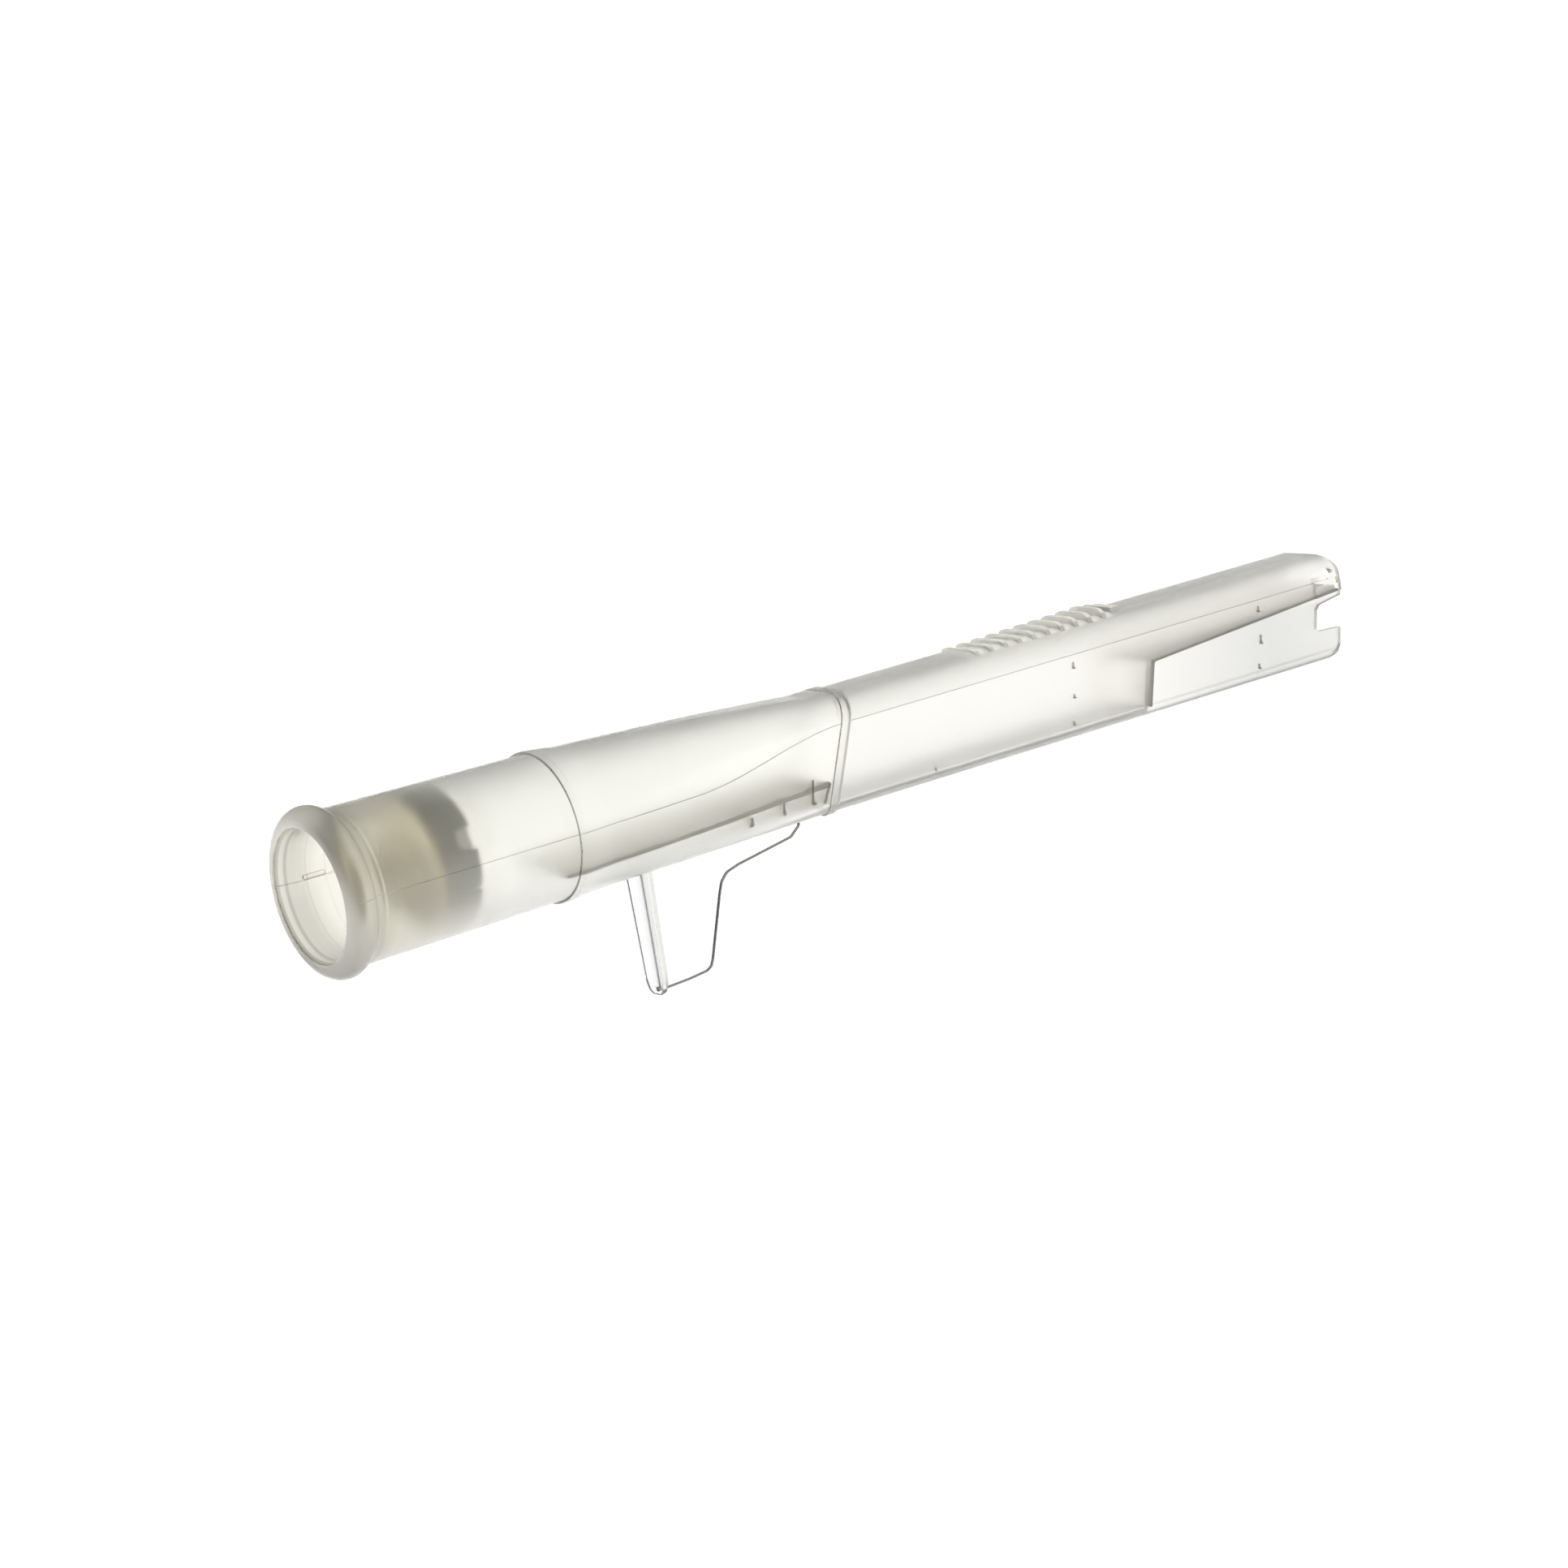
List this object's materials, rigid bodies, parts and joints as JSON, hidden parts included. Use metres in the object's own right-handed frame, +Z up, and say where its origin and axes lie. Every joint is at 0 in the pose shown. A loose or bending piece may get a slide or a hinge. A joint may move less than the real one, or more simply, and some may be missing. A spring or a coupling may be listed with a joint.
{
  "type": "dust extraction nozzle",
  "caption": "Translucent hand-held suction nozzle: round hose socket blending into a flat rectangular duct, with thumb grip ribs, finger fin and a removable mouth stopper.",
  "frame": {"origin": "centre of the round mouth, on its front plane", "axes": "+X from the round mouth along the barrel to the tool end, +Z up to the thumb grip side, +Y to the far side wall"},
  "size_m": [0.2226, 0.0296, 0.0492],
  "materials": {
    "frosted_plastic": "natural translucent polypropylene, satin",
    "clear_plastic": "thin clear polypropylene web",
    "grey_stopper": "grey soft plastic, matt"
  },
  "bodies": {
    "nozzle": {"hose_socket": "frosted_plastic", "transition_lower": "frosted_plastic", "transition_upper": "frosted_plastic", "collar": "frosted_plastic", "duct_body": "frosted_plastic", "duct_cover": "frosted_plastic", "end_lugs": "frosted_plastic", "thumb_grip": "frosted_plastic", "rear_ramp": "frosted_plastic", "inner_baffle": "frosted_plastic", "finger_fin": "clear_plastic"},
    "stopper": {"mouth_plug": "grey_stopper"}
  },
  "joints": [
    {"name": "stopper_slide", "type": "slide", "parent": "nozzle", "child": "stopper", "axis": [-1, 0, 0], "range_m": [0, 0.04]}
  ]
}
